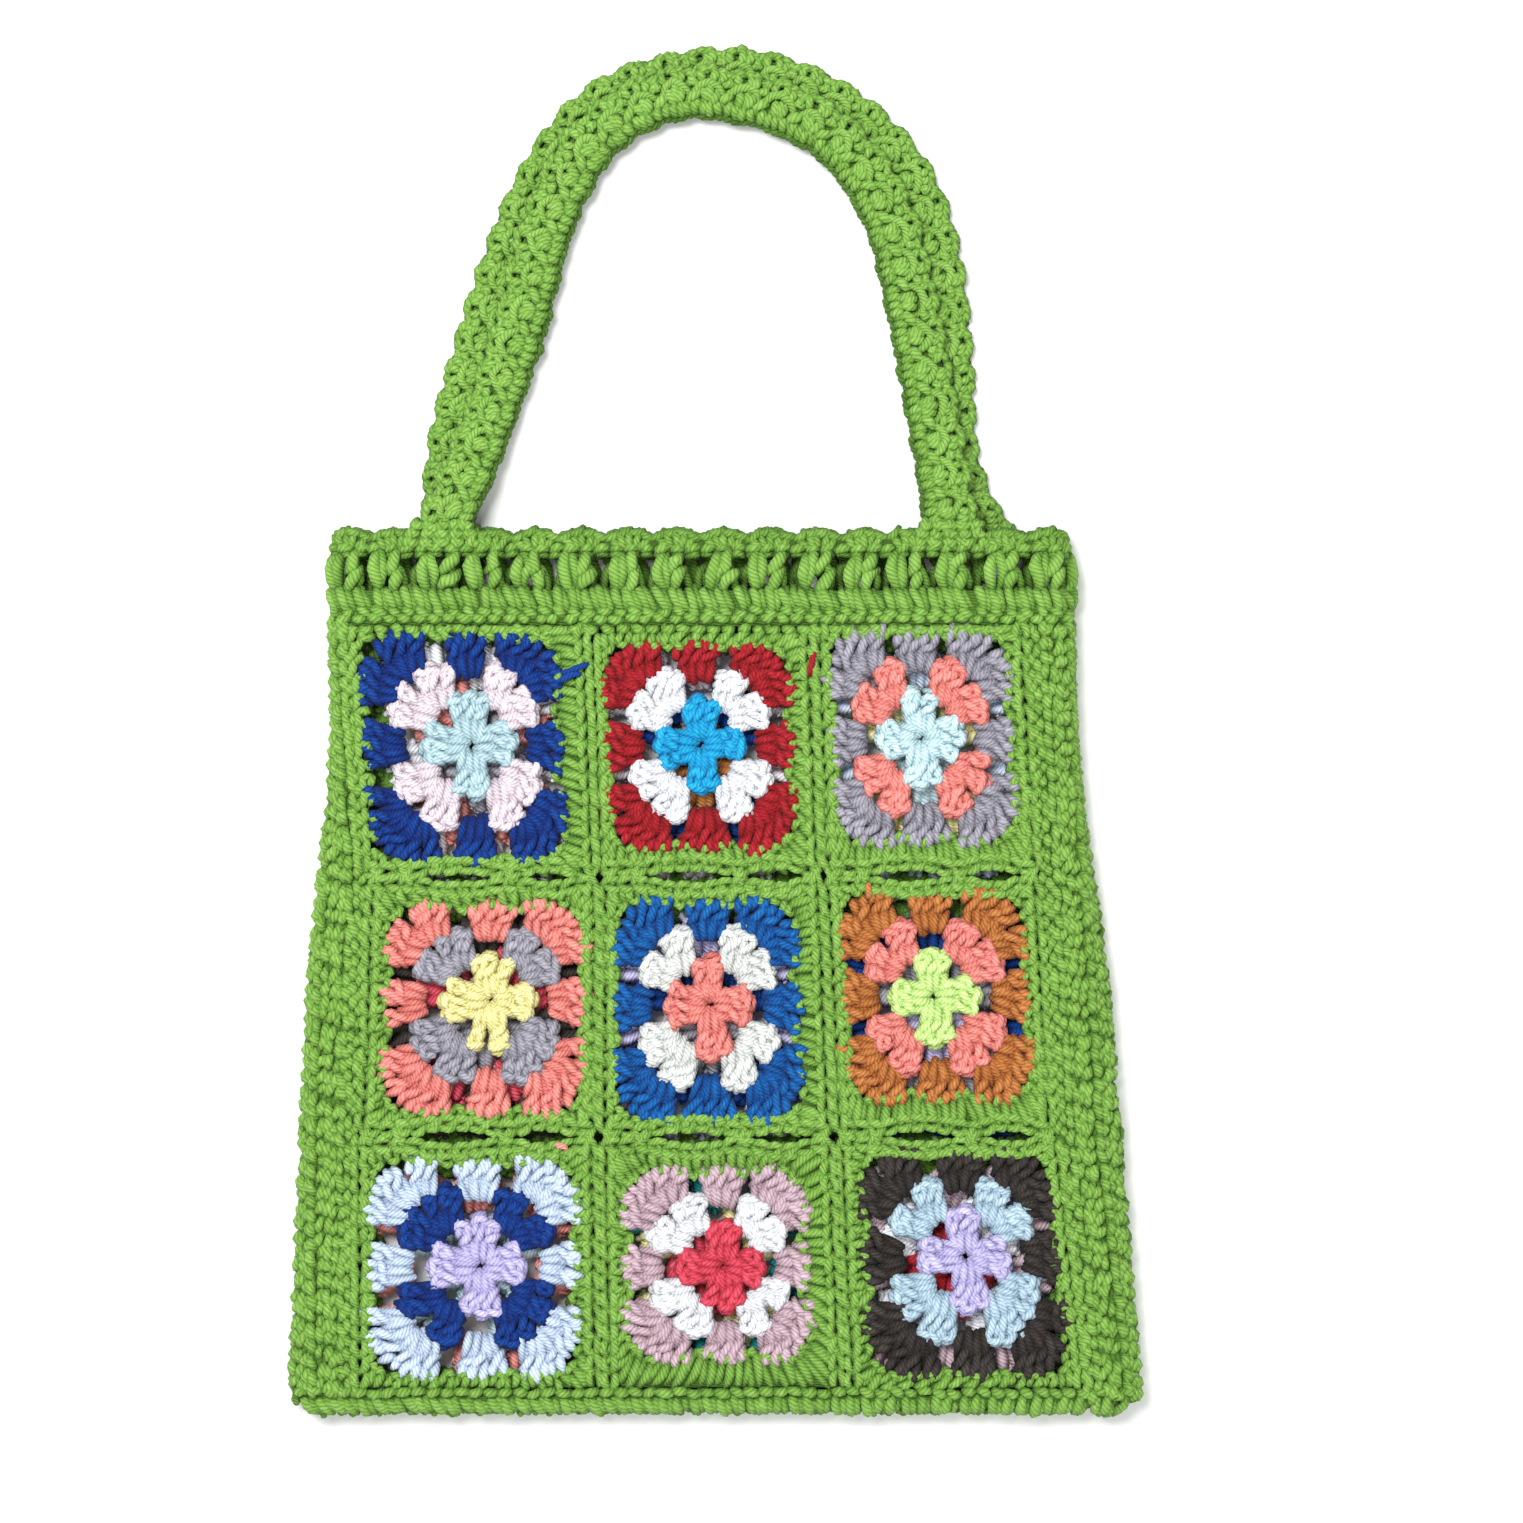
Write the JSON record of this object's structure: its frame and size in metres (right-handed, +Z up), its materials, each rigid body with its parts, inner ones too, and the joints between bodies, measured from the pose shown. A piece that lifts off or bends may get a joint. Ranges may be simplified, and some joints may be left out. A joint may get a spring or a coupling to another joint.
{
  "type": "crochet bag",
  "caption": "Flat crocheted tote of joined granny squares in green-edged colours, with strip sides, a scalloped mouth and two wide shoulder handles, lying on its back.",
  "frame": {"origin": "on the surface that the bag lies on, under the middle of the whole bag with its handles", "axes": "+X to the bag's right seen from the front, +Y from the bottom edge towards the handles, +Z up, out of the front panel"},
  "size_m": [0.3282, 0.5282, 0.0159],
  "materials": {
    "green": "matte grass green worsted yarn, crocheted",
    "navy": "matte navy worsted yarn, crocheted",
    "pale_pink": "matte pale pink worsted yarn, crocheted",
    "duck_egg": "matte duck-egg blue worsted yarn, crocheted",
    "white": "matte white worsted yarn, crocheted",
    "brick_red": "matte brick red worsted yarn, crocheted",
    "cerulean": "matte cerulean worsted yarn, crocheted",
    "grey": "matte grey worsted yarn, crocheted",
    "coral": "matte coral worsted yarn, crocheted",
    "aqua": "matte pale aqua worsted yarn, crocheted",
    "yellow": "matte yellow worsted yarn, crocheted",
    "royal_blue": "matte royal blue worsted yarn, crocheted",
    "off_white": "matte off-white worsted yarn, crocheted",
    "caramel": "matte caramel worsted yarn, crocheted",
    "lime": "matte lime worsted yarn, crocheted",
    "pale_blue": "matte pale blue worsted yarn, crocheted",
    "lilac": "matte lilac worsted yarn, crocheted",
    "rose": "matte rose red worsted yarn, crocheted",
    "mauve": "matte mauve worsted yarn, crocheted",
    "charcoal": "matte charcoal worsted yarn, crocheted",
    "dusty_blue": "matte dusty blue worsted yarn, crocheted",
    "teal": "matte teal worsted yarn, crocheted"
  },
  "bodies": {
    "root": {"front_top_left_centre": "duck_egg", "front_top_left_second_round": "pale_pink", "front_top_left_third_round": "navy", "front_top_left_green_round": "green", "front_top_middle_centre": "cerulean", "front_top_middle_second_round": "white", "front_top_middle_third_round": "brick_red", "front_top_middle_green_round": "green", "front_top_right_centre": "aqua", "front_top_right_second_round": "coral", "front_top_right_third_round": "grey", "front_top_right_green_round": "green", "front_middle_left_centre": "yellow", "front_middle_left_second_round": "grey", "front_middle_left_third_round": "coral", "front_middle_left_green_round": "green", "front_middle_centre": "coral", "front_middle_second_round": "off_white", "front_middle_third_round": "royal_blue", "front_middle_green_round": "green", "front_middle_right_centre": "lime", "front_middle_right_second_round": "coral", "front_middle_right_third_round": "caramel", "front_middle_right_green_round": "green", "front_bottom_left_centre": "lilac", "front_bottom_left_second_round": "navy", "front_bottom_left_third_round": "pale_blue", "front_bottom_left_green_round": "green", "front_bottom_middle_centre": "rose", "front_bottom_middle_second_round": "white", "front_bottom_middle_third_round": "mauve", "front_bottom_middle_green_round": "green", "front_bottom_right_centre": "lilac", "front_bottom_right_second_round": "dusty_blue", "front_bottom_right_third_round": "charcoal", "front_bottom_right_green_round": "green", "front_left_strip": "green", "front_right_strip": "green", "front_bottom_strip": "green", "front_top_band": "green", "front_handle": "green", "back_top_left_square": "white", "back_top_middle_square": "pale_pink", "back_top_right_square": "pale_blue", "back_middle_left_square": "charcoal", "back_middle_square": "lilac", "back_middle_right_square": "navy", "back_bottom_left_square": "coral", "back_bottom_middle_square": "teal", "back_bottom_right_square": "mauve", "back_left_strip": "green", "back_right_strip": "green", "back_bottom_strip": "green", "back_top_band": "green", "back_handle": "green"}
  },
  "joints": []
}
